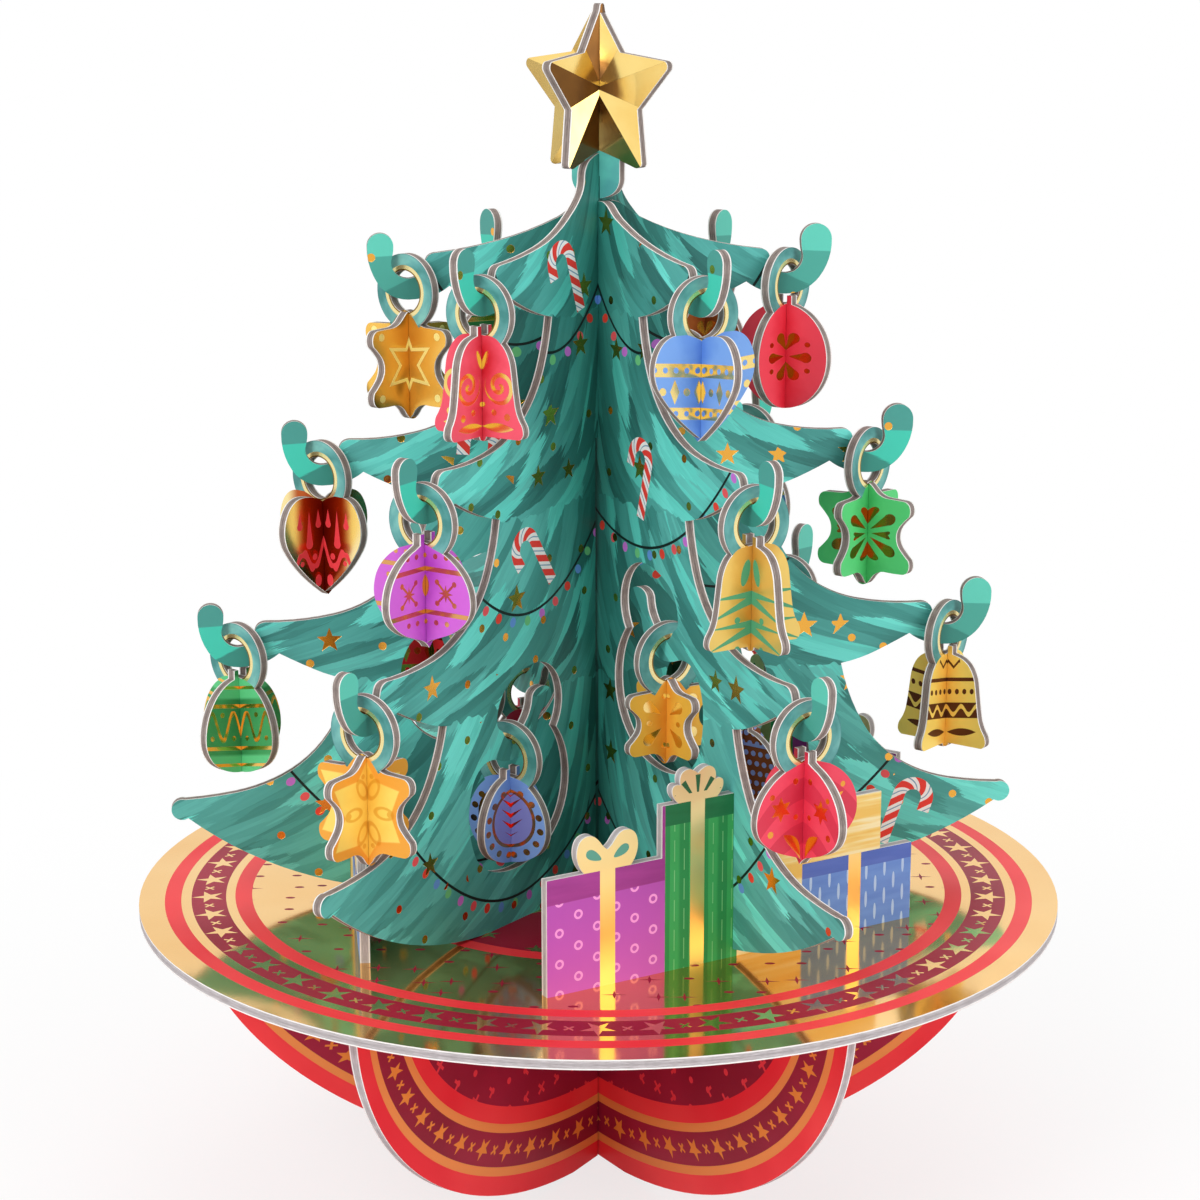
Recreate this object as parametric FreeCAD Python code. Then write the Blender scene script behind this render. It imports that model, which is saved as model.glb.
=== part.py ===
import FreeCAD, Part
import math
import os

# A table-top advent calendar that slots together from printed greyboard.
# Three crossing boards make a tree with six vanes, which stands on a round plate, and three
# crossing half ellipses carry the plate. Each vane has three hooked tiers and one window with
# its own hook. On each hook hangs an ornament of two crossing pieces, one of them with a ring.
# Three cards of presents slot into the skirt, and a star of two pieces sits on the spire.
# Millimetres, +Z up, the axis of the tree at X = Y = 0 and the feet at Z = 0.

V = FreeCAD.Vector

# Board and fits
BOARD = 3.0            # thickness of the greyboard of every piece
SLIP = 0.12            # clearance on each side of a board in its slot
SEAT = 0.1             # clearance between a ring and the notch that carries it
DIE_ERROR = 0.3        # a free curve is cut as a run of arcs that keep this close to it

# Base and plate
BASE_HIGH = 89.8       # floor to the underside of the plate
FOOT_HALF = 17.7       # half of the flat foot of a base board
PLATE_R = 143.5        # radius of the round plate
BASE_INSET = 13.5      # the base boards end this far inside the rim of the plate

# Tree: three tiers, each further out and lower than the one above it
TIER_OUT = 25.7        # step outward from a tier to the next
TIER_DROP = 56.4       # step downward from a tier to the next
NECK = 25.2            # reach of the step under the top tier
SKIRT = 68.7           # height of the step over the skirt, above the plate
EAVE_OUT = 34.0        # from the lowest step out to the notch of its hook
EAVE_SHORT = 1.0       # how much shorter each higher eave is
EAVE_RISE = 11.4       # from the lowest step up to the notch of its hook
EAVE_SINK = 0.8        # how much lower over its step each higher notch is
CROWN = 19.1           # from the top step up to where the two peaks spread
SKIRT_OUT = 55.9       # from the lowest step out to the tip of the skirt
TIP_LIFT = 4.5         # how much higher the skirt's tip is on one vane of each board
TAB_IN = 8.0           # a vane's tab through the plate, from the axis
TAB_OUT = 22.0

# Hooks and rings
BAR = 6.3              # depth of a hook's bar under its notch
HEAD_RIGHT = 4.7       # radius of the round head of a hook on the right half of a board
HEAD_LEFT = 3.9        # and on its left half
MOUTH_PLAY = 1.4       # room beside a ring in the notch at its tightest turn
RING_PLAY = 2.6        # room under the bar inside a ring
RING_BAND = 4.9        # width of a ring
TIGHT_TURN = 45.0      # sharpest angle between a ring and its vane, degrees

# Ornaments
TIER_GAP = 9.9         # tier step less the drop of an ornament from ring to foot
BODY_HALF = 17.0       # half width of the widest ornament
LONGER = {"star": 3.0, "ball": 2.4, "bauble": 1.0, "bell": 1.0, "heart": 0.8, "egg": 0.2}
KNOB_HALF = 3.2        # half width of the knob on a cross piece
KNOB_HIGH = 2.4
KNOB_GAP = 0.4         # room between the knob and the bar over it
SMALL_BY = 3.0         # the ornaments in the windows are this much shorter
WINDOW_GAP = 1.9       # room under an ornament in its window

# Windows: place of the notch, from the axis and above the plate
WINDOW_HIGH = (40.0, 87.2)
WINDOW_LOW = (45.5, 57.4)

# Cards of presents
CARD_LAP = 22.0        # height of the lap where a card and a vane cross
PURPLE_WIDE = 38.0
PURPLE_HIGH = 34.5
GREEN_WIDE = 26.0
GREEN_HIGH = 50.0
YELLOW_WIDE = 51.5
YELLOW_HIGH = 42.0
BLUE_END = 63.3
BLUE_HIGH = 24.0

# Top of the tree and its star
PEAK_HALF = 3.5        # half width of the gap between the two peaks of a lower board
PEAK_RISE = 13.0       # peak over the shoulders of the top tier
SPIRE_HALF = 8.7
SPIRE_RISE = 27.1      # spire over the shoulders of the top tier
STEM_DROP = 13.5       # overlap of the star's stem and the spire
CROTCH_GAP = 1.3       # room between the spire and the star over it
STAR_HIGH = 42.0       # crotch to the top point
ARM_HALF = 26.0
LEG_HALF = 16.5

# Directions of the boards, in degrees from +X
SPIRE_TURN = 54.2
MIDDLE_TURN = 121.2
CROSS_TURN = 7.5
BASE_TURNS = (1.2, 58.3, 123.0)


def tightest_half():
    """Half width of the patch where a ring at its tightest turn crosses a hook."""
    turn = math.radians(TIGHT_TURN)
    return BOARD / 2 * (1 + math.cos(turn)) / math.sin(turn)


def sagitta(radius, half):
    """Depth of an arc of this radius at a distance of half from its lowest point."""
    return radius - math.sqrt(radius ** 2 - half ** 2)


NOTCH_R = tightest_half() + MOUTH_PLAY
HOLE_HALF = (BAR + sagitta(NOTCH_R, tightest_half()) + RING_PLAY) / 2
RING_IN = math.hypot(HOLE_HALF, tightest_half())
RING_OUT = RING_IN + RING_BAND


def ring_lift(turn):
    """Height of a ring's inner top over the bottom of the notch that it hangs in."""
    angle = math.radians(turn)
    half = BOARD / 2 * (1 + abs(math.cos(angle))) / abs(math.sin(angle))
    return sagitta(NOTCH_R, half) + sagitta(RING_IN, half) + SEAT


KNOB_TOP = RING_IN - BAR - ring_lift(TIGHT_TURN) - KNOB_GAP
BODY_TOP = KNOB_TOP - KNOB_HIGH
HANG = TIER_DROP - TIER_GAP
PLATE_TOP = BASE_HIGH + BOARD
SHOULDER_UP = 7.5      # top edge of a tier over the notch of its hook
SHOULDER_IN = 8.5      # from the notch in to the end of that edge


class Outline:
    """An outline drawn edge by edge in the X-Z plane and filled as a board."""

    def __init__(self, x, z):
        self.first = V(x, 0, z)
        self.last = self.first
        self.edges = []

    def line(self, x, z):
        end = V(x, 0, z)
        self.edges.append(Part.LineSegment(self.last, end).toShape())
        self.last = end
        return self

    def arc(self, via_x, via_z, x, z):
        end = V(x, 0, z)
        self.edges.append(Part.Arc(self.last, V(via_x, 0, via_z), end).toShape())
        self.last = end
        return self

    def curve(self, x1, z1, x2, z2, x, z):
        end = V(x, 0, z)
        bend = Part.BezierCurve()
        bend.setPoles([self.last, V(x1, 0, z1), V(x2, 0, z2), end])
        self.edges.extend(arc.toShape() for arc in bend.toBSpline().toBiArcs(DIE_ERROR))
        self.last = end
        return self

    def board(self, thickness=BOARD):
        if self.last.distanceToPoint(self.first) > 1e-6:
            self.line(self.first.x, self.first.z)
        face = Part.Face(Part.Wire(self.edges))
        face.translate(V(0, -thickness / 2, 0))
        return face.extrude(V(0, thickness, 0))


def mirrored(shape):
    """The same board with left and right exchanged."""
    return shape.mirror(V(0, 0, 0), V(1, 0, 0))


def both_halves(right, left):
    """One board from its right half and from the shape whose mirror image is its left half."""
    return right.fuse(mirrored(left)).removeSplitter()


def slot(x, half, low, high):
    """The room that a slot takes out of a board."""
    return Part.makeBox(2 * half, 2 * BOARD, high - low, V(x - half, -BOARD, low))


def placed(shape, turn, height, x=0.0):
    """The board turned about the axis and lifted, moved out along its vane first."""
    copy = shape.copy()
    copy.translate(V(x, 0, height))
    copy.rotate(V(0, 0, 0), V(0, 0, 1), turn)
    return copy


def save(shape, name):
    solids = shape.Solids
    if len(solids) != 1 or not solids[0].isValid():
        raise RuntimeError("%s: %d solids" % (name, len(solids)))
    solids[0].exportStep("parts/%s.step" % name)


def slot_half(turn, others):
    """Half width of the slot at the axis that lets every other crossing board through."""
    widest = 0.0
    for other in others:
        apart = abs(turn - other) % 180
        apart = math.radians(min(apart, 180 - apart))
        widest = max(widest, BOARD / 2 / math.tan(apart / 2))
    return widest + SLIP


# --- Tree boards -------------------------------------------------------------------------

def step(tier):
    """Inner corner under a tier, where tier 0 is the lowest."""
    return NECK + (2 - tier) * TIER_OUT, SKIRT + tier * TIER_DROP


def notch(tier):
    """Lowest point of the notch of a tier's hook."""
    x, z = step(tier)
    return x + EAVE_OUT - tier * EAVE_SHORT, z + EAVE_RISE - tier * EAVE_SINK


def draw_hook(outline, x, z, head):
    """A tier's hook, from the cusp under the eave round its head to the shoulder."""
    head_x = x + 3.2 + 1.25 * head
    head_z = z + 7.2 + 0.6 * head
    outline.curve(x - 9.0, z - BAR + 1.2, x - 4.0, z - BAR, x, z - BAR)
    outline.curve(x + NOTCH_R + 3.8, z - BAR, head_x + head + 0.3, z + 1.0, head_x + head, head_z)
    outline.arc(head_x, head_z + head, head_x - head, head_z)
    side = math.radians(60)
    right_x = x + NOTCH_R * math.sin(side)
    right_z = z + NOTCH_R * (1 - math.cos(side))
    outline.curve(head_x - head, z + 7.5, right_x + 1.75, right_z + 3.0, right_x, right_z)
    side = math.radians(55)
    left_x = x - NOTCH_R * math.sin(side)
    left_z = z + NOTCH_R * (1 - math.cos(side))
    outline.arc(x, z, left_x, left_z)
    outline.curve(left_x - 1.5, left_z + 2.2, left_x - 0.5, z + SHOULDER_UP,
                  x - SHOULDER_IN, z + SHOULDER_UP)


def draw_skirt(outline, lift):
    """The skirt: a hem that leaves the plate, a rounded tip and the way up to the lowest step."""
    x, z = step(0)
    tip = x + SKIRT_OUT
    outline.line(x - 19.6, 0)
    outline.curve(x + 7.4, 1.0, tip - 22.5, 10.5 + lift / 3, tip - 5.0, 21.8 + lift)
    outline.arc(tip, 24.6 + lift, tip - 4.2, 27.7 + lift)
    outline.curve(tip - 22.5, 28.5 + lift, x + 7.4, 32.0 + lift, x, z)


def draw_tiers(outline, head):
    """The three tiers from the lowest step to the shoulder of the top tier."""
    for tier in range(3):
        x, z = step(tier)
        if tier:
            below_x, below_z = notch(tier - 1)
            outline.curve(x + 14.0, below_z + SHOULDER_UP - 1.7, x + 3.0, z - 0.355 * TIER_DROP, x, z)
        hook_x, hook_z = notch(tier)
        outline.curve(x + 8.0, z + 1.5, hook_x - 18.0, hook_z - 5.5, hook_x - 12.3, hook_z - 2.4)
        draw_hook(outline, hook_x, hook_z, head)


def half_tree(lift, head, has_spire):
    """Half of a tree board: tab, skirt, tiers and peak, closed along the axis."""
    outline = Outline(0, 0)
    outline.line(TAB_IN, 0).line(TAB_IN, -BOARD).line(TAB_OUT, -BOARD).line(TAB_OUT, 0)
    draw_skirt(outline, lift)
    draw_tiers(outline, head)
    top = step(2)[1] + CROWN
    if has_spire:
        outline.curve(34.0, top - 0.2, 22.0, top + 4.0, SPIRE_HALF + 6.6, top + 10.0)
        outline.curve(SPIRE_HALF + 2.3, top + 13.4, SPIRE_HALF, top + 17.0, SPIRE_HALF, top + 20.4)
        outline.curve(SPIRE_HALF, top + 24.4, 5.0, top + SPIRE_RISE, 0, top + SPIRE_RISE)
    else:
        outline.curve(34.0, top - 0.2, 24.0, top + 2.4, 12.3, top + 8.2)
        outline.curve(8.5, top + 10.2, PEAK_HALF + 2.0, top + PEAK_RISE, PEAK_HALF, top + PEAK_RISE)
        outline.line(0, top + PEAK_RISE)
    return outline.board()


def window_room(x, z):
    """The window of a vane: two rounded lobes with a hook that grows in from the outer side."""
    deep = HANG - SMALL_BY - RING_BAND + WINDOW_GAP
    inner = BODY_HALF + 11.7
    outer = BODY_HALF + 4.7
    side = math.radians(60)
    start_x = x + NOTCH_R * math.sin(side)
    start_z = z + NOTCH_R * (1 - math.cos(side))
    outline = Outline(start_x, start_z)
    outline.curve(start_x + 0.9, start_z + 1.5, x + 7.5, z + 4.5, x + 7.6, z + 6.5)
    outline.curve(x + 7.9, z + 14.0, x, z + 21.0, x - 11.0, z + 21.2)
    outline.curve(x - 22.0, z + 21.4, x - 28.5, z + 8.0, x - 21.7, z - 1.0)
    outline.curve(x - inner, z - 9.0, x - inner - 1.5, z - deep + 15.0, x - 20.0, z - deep + 6.3)
    outline.curve(x - 11.0, z - deep - 1.8, x + 10.0, z - deep - 3.4, x + 18.0, z - deep + 7.6)
    outline.curve(x + outer + 1.0, z - deep + 16.0, x + outer + 2.0, z - 8.5, x + 14.0, z - 4.5)
    outline.curve(x + 10.0, z - 3.2, x + 4.0, z - BAR, x, z - BAR)
    outline.curve(x - 5.5, z - BAR, x - 11.5, z - 2.5, x - 12.5, z + 3.5)
    outline.curve(x - 14.0, z + 6.5, x - 16.5, z + 6.8, x - 18.8, z + 8.6)
    outline.curve(x - 20.2, z + 11.5, x - 16.5, z + 13.8, x - 13.2, z + 13.2)
    outline.curve(x - 11.2, z + 13.0, x - 9.9, z + 12.3, x - 9.6, z + 10.5)
    side = math.radians(35)
    left_x = x - NOTCH_R * math.sin(side)
    left_z = z + NOTCH_R * (1 - math.cos(side))
    outline.curve(x - 9.2, z + 6.5, left_x - 3.4, left_z + 2.4, left_x, left_z)
    outline.arc(x, z, start_x, start_z)
    return outline.board(2 * BOARD)


def tree_board(turn, slot_ranges, right_has_card, right_lift, has_spire):
    """A tree board with its windows, its slots at the axis and the slot for a card."""
    others = [other for other in (SPIRE_TURN, MIDDLE_TURN, CROSS_TURN) if other != turn]
    left_lift = TIP_LIFT - right_lift
    shape = both_halves(half_tree(right_lift, HEAD_RIGHT, has_spire),
                        half_tree(left_lift, HEAD_LEFT, has_spire))
    high, low = window_room(*WINDOW_HIGH), window_room(*WINDOW_LOW)
    right, left = (high, low) if right_has_card else (low, high)
    shape = shape.cut(right).cut(mirrored(left))
    half = slot_half(turn, others)
    for bottom, top in slot_ranges:
        shape = shape.cut(slot(0, half, bottom, top))
    side = 1 if right_has_card else -1
    shape = shape.cut(slot(side * step(0)[0], BOARD / 2 + SLIP, -1, CARD_LAP))
    return shape


def lap_heights(low, high):
    """The two heights that share a crossing of three boards evenly."""
    third = (high - low) / 3
    return low + third, low + 2 * third


# --- Base --------------------------------------------------------------------------------

def base_board():
    """A base board: half an ellipse with a flat foot, hung from the plate."""
    reach = PLATE_R - BASE_INSET
    depth = BASE_HIGH / math.sqrt(1 - (FOOT_HALF / reach) ** 2)
    ellipse = Part.Ellipse(V(0, 0, 0), reach, depth)
    ellipse.rotate(FreeCAD.Placement(V(0, 0, 0), V(1, 0, 0), 90))
    foot_angle = math.acos(FOOT_HALF / reach)
    curve = Part.ArcOfEllipse(ellipse, -foot_angle, 0).toShape()
    foot = V(FOOT_HALF, 0, -BASE_HIGH)
    corners = [V(reach, 0, 0), V(0, 0, 0), V(0, 0, -BASE_HIGH), foot]
    straight = Part.makePolygon(corners)
    face = Part.Face(Part.Wire(Part.sortEdges(straight.Edges + [curve])[0]))
    face.translate(V(0, -BOARD / 2, 0))
    half = face.extrude(V(0, BOARD, 0))
    return both_halves(half, half)


def base_boards():
    """The three base boards, each solid at the axis over its own third."""
    low, high = lap_heights(-BASE_HIGH, 0)
    cuts = (((-BASE_HIGH - 1, high),), ((-BASE_HIGH - 1, low), (high, 1)), ((low, 1),))
    for number, turn in enumerate(BASE_TURNS):
        others = [other for other in BASE_TURNS if other != turn]
        shape = base_board()
        for bottom, top in cuts[number]:
            shape = shape.cut(slot(0, slot_half(turn, others), bottom, top))
        save(placed(shape, turn, BASE_HIGH), "base_board_%d" % (number + 1))


def plate():
    """The round plate, with a slot for the tab of each vane."""
    shape = Part.makeCylinder(PLATE_R, BOARD, V(0, 0, BASE_HIGH))
    length = TAB_OUT - TAB_IN + 2 * SLIP
    for turn in (SPIRE_TURN, MIDDLE_TURN, CROSS_TURN):
        for side in (0, 180):
            room = Part.makeBox(length, BOARD + 2 * SLIP, 3 * BOARD,
                                V(TAB_IN - SLIP, -BOARD / 2 - SLIP, BASE_HIGH - BOARD))
            room.rotate(V(0, 0, 0), V(0, 0, 1), turn + side)
            shape = shape.cut(room)
    return shape


# --- Presents ----------------------------------------------------------------------------

def draw_bow(outline, x, z, wide, high):
    """Two ribbon loops that stand on a lid, drawn from left to right."""
    outline.line(x - 0.8 * wide, z)
    outline.curve(x - 1.3 * wide, z + 0.5 * high, x - 0.95 * wide, z + 1.3 * high,
                  x - 0.4 * wide, z + 0.92 * high)
    outline.curve(x - 0.25 * wide, z + 0.8 * high, x - 0.1 * wide, z + 0.6 * high, x, z + 0.55 * high)
    outline.curve(x + 0.1 * wide, z + 0.6 * high, x + 0.25 * wide, z + 0.8 * high,
                  x + 0.4 * wide, z + 0.92 * high)
    outline.curve(x + 0.95 * wide, z + 1.3 * high, x + 1.3 * wide, z + 0.5 * high, x + 0.8 * wide, z)


def draw_rosette(outline, x, z, wide, high):
    """A bow with two tall loops and a lower one on each side, drawn from left to right."""
    outline.line(x - 0.8 * wide, z)
    outline.curve(x - 1.2 * wide, z + 0.3 * high, x - 1.1 * wide, z + 0.75 * high,
                  x - 0.72 * wide, z + 0.55 * high)
    outline.curve(x - 0.85 * wide, z + 0.95 * high, x - 0.45 * wide, z + 1.2 * high, x, z + 0.85 * high)
    outline.curve(x + 0.45 * wide, z + 1.2 * high, x + 0.85 * wide, z + 0.95 * high,
                  x + 0.72 * wide, z + 0.55 * high)
    outline.curve(x + 1.1 * wide, z + 0.75 * high, x + 1.2 * wide, z + 0.3 * high, x + 0.8 * wide, z)


def present_card():
    """Four wrapped boxes side by side, slotted from above at the vane."""
    outline = Outline(-GREEN_WIDE - PURPLE_WIDE, 0)
    outline.line(-GREEN_WIDE - PURPLE_WIDE, PURPLE_HIGH)
    draw_bow(outline, -44.2, PURPLE_HIGH, 9.6, 10.8)
    outline.line(-GREEN_WIDE, PURPLE_HIGH).line(-GREEN_WIDE, GREEN_HIGH)
    draw_rosette(outline, -14.0, GREEN_HIGH, 8.2, 9.4)
    outline.line(0, GREEN_HIGH).line(0, YELLOW_HIGH).line(YELLOW_WIDE, YELLOW_HIGH)
    outline.line(YELLOW_WIDE, BLUE_HIGH).line(BLUE_END, BLUE_HIGH).line(BLUE_END, 0)
    return outline.board().cut(slot(0, BOARD / 2 + SLIP, CARD_LAP, GREEN_HIGH + 1))


def present_cards(vanes):
    """The same card across every second vane, its lap over the vane's lap."""
    for name in ("front_right", "left", "back_right"):
        card = present_card()
        card.rotate(V(0, 0, 0), V(0, 0, 1), 90)
        save(placed(card, vanes[name], PLATE_TOP, step(0)[0]), "presents_" + name)


# --- Star --------------------------------------------------------------------------------

def star_outline():
    """A five-pointed star with rounded points, whose crotch is at Z = 0."""
    top = STAR_HIGH
    outline = Outline(0, 0)
    outline.line(LEG_HALF - 2.6, -5.0)
    outline.curve(LEG_HALF - 0.6, -6.0, LEG_HALF + 0.6, -5.2, LEG_HALF + 0.1, -3.4)
    outline.line(15.0, 11.7)
    outline.line(ARM_HALF - 0.9, 23.0)
    outline.curve(ARM_HALF + 0.6, 24.6, ARM_HALF, 25.7, ARM_HALF - 1.8, 25.9)
    outline.line(8.8, 28.0)
    outline.line(1.3, top - 2.2)
    outline.curve(0.9, top - 0.6, 0.5, top, 0, top)
    half = outline.board()
    return both_halves(half, half)


def star_pieces(spire_top):
    """The two crossing pieces of the star. The second has the stem that laps the spire."""
    crotch = spire_top + CROTCH_GAP
    lap = STAR_HIGH * 0.42
    half = BOARD / 2 + SLIP
    plain = star_outline().cut(slot(0, half, -1, lap))
    save(placed(plain, SPIRE_TURN, PLATE_TOP + crotch), "star_plain")
    foot = -CROTCH_GAP - STEM_DROP
    stem = Outline(0, foot)
    stem.curve(5.0, foot, SPIRE_HALF, foot + 2.6, SPIRE_HALF, foot + 6.3)
    stem.line(SPIRE_HALF, 2.0).line(0, 2.0)
    stem_half = stem.board()
    stemmed = star_outline().fuse(both_halves(stem_half, stem_half)).removeSplitter()
    stemmed = stemmed.cut(slot(0, half, lap, STAR_HIGH + 1))
    stemmed = stemmed.cut(slot(0, half, foot - 1, foot + STEM_DROP / 2))
    save(placed(stemmed, SPIRE_TURN + 90, PLATE_TOP + crotch), "star_stemmed")


# --- Ornaments ---------------------------------------------------------------------------
# Each half outline runs from the foot to the top along the right side, about the ring's centre.

def half_ball(foot, high, widest):
    radius = min(high / 2, widest)
    return Outline(0, foot).arc(radius, foot + high / 2, 0, foot + high)


def half_egg(foot, high, widest):
    wide = widest * 0.9
    outline = Outline(0, foot)
    outline.curve(0.6 * wide, foot, wide, foot + 0.2 * high, wide, foot + 0.42 * high)
    return outline.curve(wide, foot + 0.7 * high, 0.6 * wide, foot + high, 0, foot + high)


def half_bauble(foot, high, widest):
    wide = widest
    outline = Outline(0, foot)
    outline.curve(0.1 * wide, foot + 0.08 * high, 0.28 * wide, foot + 0.1 * high,
                  0.5 * wide, foot + 0.15 * high)
    outline.curve(0.82 * wide, foot + 0.22 * high, wide, foot + 0.32 * high, wide, foot + 0.47 * high)
    outline.curve(wide, foot + 0.72 * high, 0.78 * wide, foot + 0.84 * high,
                  0.38 * wide, foot + 0.93 * high)
    return outline.curve(0.2 * wide, foot + 0.965 * high, 0.1 * wide, foot + high, 0, foot + high)


def half_bell(foot, high, widest):
    wide = widest * 0.92
    clapper = 0.17 * wide
    hem = foot + 0.05 * high
    outline = Outline(0, foot)
    outline.curve(0.7 * clapper, foot, clapper, foot + 0.02 * high, clapper, hem)
    outline.line(0.9 * wide, hem)
    outline.curve(1.02 * wide, hem + 0.02 * high, 1.02 * wide, hem + 0.1 * high,
                  0.93 * wide, hem + 0.16 * high)
    outline.curve(0.72 * wide, foot + 0.38 * high, 0.8 * wide, foot + 0.7 * high,
                  0.62 * wide, foot + 0.86 * high)
    return outline.curve(0.5 * wide, foot + 0.97 * high, 0.25 * wide, foot + high, 0, foot + high)


def half_heart(foot, high, widest):
    wide = widest
    outline = Outline(0, foot)
    outline.curve(0.5 * wide, foot + 0.2 * high, wide, foot + 0.48 * high, wide, foot + 0.7 * high)
    outline.curve(wide, foot + 0.89 * high, 0.8 * wide, foot + 1.02 * high,
                  0.54 * wide, foot + 1.02 * high)
    return outline.curve(0.28 * wide, foot + 1.02 * high, 0.1 * wide, foot + 0.98 * high,
                         0, foot + 0.89 * high)


def half_star(foot, high, widest):
    wide = widest * 0.92
    outline = Outline(0, foot)
    outline.curve(0.1 * wide, foot, 0.14 * wide, foot + 0.03 * high, 0.2 * wide, foot + 0.08 * high)
    outline.curve(0.3 * wide, foot + 0.15 * high, 0.5 * wide, foot + 0.14 * high,
                  0.86 * wide, foot + 0.15 * high)
    outline.curve(1.02 * wide, foot + 0.16 * high, 1.04 * wide, foot + 0.22 * high,
                  0.97 * wide, foot + 0.29 * high)
    outline.curve(0.62 * wide, foot + 0.45 * high, 0.62 * wide, foot + 0.55 * high,
                  0.97 * wide, foot + 0.71 * high)
    outline.curve(1.04 * wide, foot + 0.78 * high, 1.02 * wide, foot + 0.84 * high,
                  0.86 * wide, foot + 0.85 * high)
    outline.curve(0.5 * wide, foot + 0.86 * high, 0.35 * wide, foot + 0.85 * high,
                  0.22 * wide, foot + 0.93 * high)
    return outline.curve(0.15 * wide, foot + 0.97 * high, 0.1 * wide, foot + high, 0, foot + high)


HALVES = {"ball": half_ball, "egg": half_egg, "bauble": half_bauble,
          "bell": half_bell, "heart": half_heart, "star": half_star}


def body_board(kind, hang):
    """The whole outline of an ornament's body, the same for both of its pieces."""
    foot = RING_OUT - hang
    half = HALVES[kind](foot, BODY_TOP - foot, BODY_HALF * hang / HANG).board()
    return both_halves(half, half)


def ringed_piece(kind, hang):
    """The piece with the ring, slotted from its foot to the middle of the body."""
    foot = RING_OUT - hang
    middle = (foot + BODY_TOP) / 2
    ring = Part.makeCylinder(RING_OUT, BOARD, V(0, -BOARD / 2, 0), V(0, 1, 0))
    hole = Part.makeCylinder(RING_IN, 2 * BOARD, V(0, -BOARD, 0), V(0, 1, 0))
    shape = ring.cut(hole).fuse(body_board(kind, hang)).removeSplitter()
    return shape.cut(slot(0, BOARD / 2 + SLIP, foot - 1, middle))


def cross_piece(kind, hang):
    """The piece across it, slotted from its top to the middle. Most have a knob on the top."""
    middle = (RING_OUT - hang + BODY_TOP) / 2
    shape = body_board(kind, hang)
    if kind not in ("star", "heart"):
        knob = Part.makeBox(2 * KNOB_HALF, BOARD, KNOB_HIGH + 4.0,
                            V(-KNOB_HALF, -BOARD / 2, BODY_TOP - 4.0))
        shape = shape.fuse(knob).removeSplitter()
    return shape.cut(slot(0, BOARD / 2 + SLIP, middle, KNOB_TOP + 4.0))


def hang_ornament(name, kind, vane, turn, place, hang):
    """Both pieces of an ornament, hung in a notch with the ring turned to this direction."""
    reach, height = place
    centre = height + ring_lift(turn - vane) - RING_IN
    pieces = ((ringed_piece(kind, hang), 0, "ring"), (cross_piece(kind, hang), 90, "cross"))
    for shape, extra, role in pieces:
        shape.rotate(V(0, 0, 0), V(0, 0, 1), turn - vane + extra)
        save(placed(shape, vane, PLATE_TOP + centre, reach), "%s_%s_%s" % (name, kind, role))


def ornaments(vanes):
    """Four ornaments on each vane: lowest, middle and top tier, and the window."""
    hung = {"left": ("egg", "heart", "star", "ball", 320),
            "front_left": ("star", "bauble", "bell", "egg", 325),
            "front_right": ("bauble", "bell", "heart", "star", 213),
            "right": ("bell", "star", "ball", "egg", 233),
            "back_right": ("heart", "ball", "egg", "bauble", 146),
            "back_left": ("ball", "heart", "bauble", "bell", 30)}
    for name, vane in vanes.items():
        kinds = hung[name][:4]
        turn = hung[name][4]
        window = WINDOW_HIGH if name in ("front_right", "left", "back_right") else WINDOW_LOW
        places = [notch(0), notch(1), notch(2), window]
        for spot, kind, place in zip(("low", "middle", "top", "window"), kinds, places):
            hang = HANG + (-SMALL_BY if spot == "window" else LONGER[kind])
            hang_ornament("%s_%s" % (name, spot), kind, vane, turn, place, hang)


def tree():
    """The three tree boards, each solid at the axis over its own third."""
    top = step(2)[1] + CROWN
    spire_top = top + SPIRE_RISE
    low, high = lap_heights(0, top + PEAK_RISE)
    under = -BOARD - 1
    star_lap = spire_top - STEM_DROP / 2
    tall = tree_board(SPIRE_TURN, ((under, high),), True, 0.0, True)
    tall = tall.cut(slot(0, BOARD / 2 + SLIP, star_lap, spire_top + 1))
    middle = tree_board(MIDDLE_TURN, ((under, low), (high, spire_top)), False, TIP_LIFT, False)
    cross = tree_board(CROSS_TURN, ((low, spire_top),), False, 0.0, False)
    save(placed(tall, SPIRE_TURN, PLATE_TOP), "tree_spire")
    save(placed(middle, MIDDLE_TURN, PLATE_TOP), "tree_middle")
    save(placed(cross, CROSS_TURN, PLATE_TOP), "tree_cross")
    return spire_top


def main():
    os.makedirs("parts", exist_ok=True)
    vanes = {"right": CROSS_TURN, "back_right": SPIRE_TURN, "back_left": MIDDLE_TURN,
             "left": CROSS_TURN + 180, "front_left": SPIRE_TURN + 180,
             "front_right": MIDDLE_TURN + 180}
    base_boards()
    save(plate(), "plate")
    star_pieces(tree())
    present_cards(vanes)
    ornaments(vanes)


main()
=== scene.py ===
import math
import bpy
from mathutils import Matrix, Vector


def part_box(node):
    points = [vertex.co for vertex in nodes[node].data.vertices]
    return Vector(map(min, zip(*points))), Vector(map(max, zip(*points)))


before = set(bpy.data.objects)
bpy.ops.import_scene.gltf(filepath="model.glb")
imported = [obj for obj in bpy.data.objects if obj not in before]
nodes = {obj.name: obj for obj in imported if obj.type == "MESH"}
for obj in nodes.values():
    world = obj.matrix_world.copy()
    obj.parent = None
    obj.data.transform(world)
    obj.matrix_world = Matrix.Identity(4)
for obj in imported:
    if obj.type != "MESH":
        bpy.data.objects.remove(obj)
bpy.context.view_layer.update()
bpy.ops.object.select_all(action="DESELECT")


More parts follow.
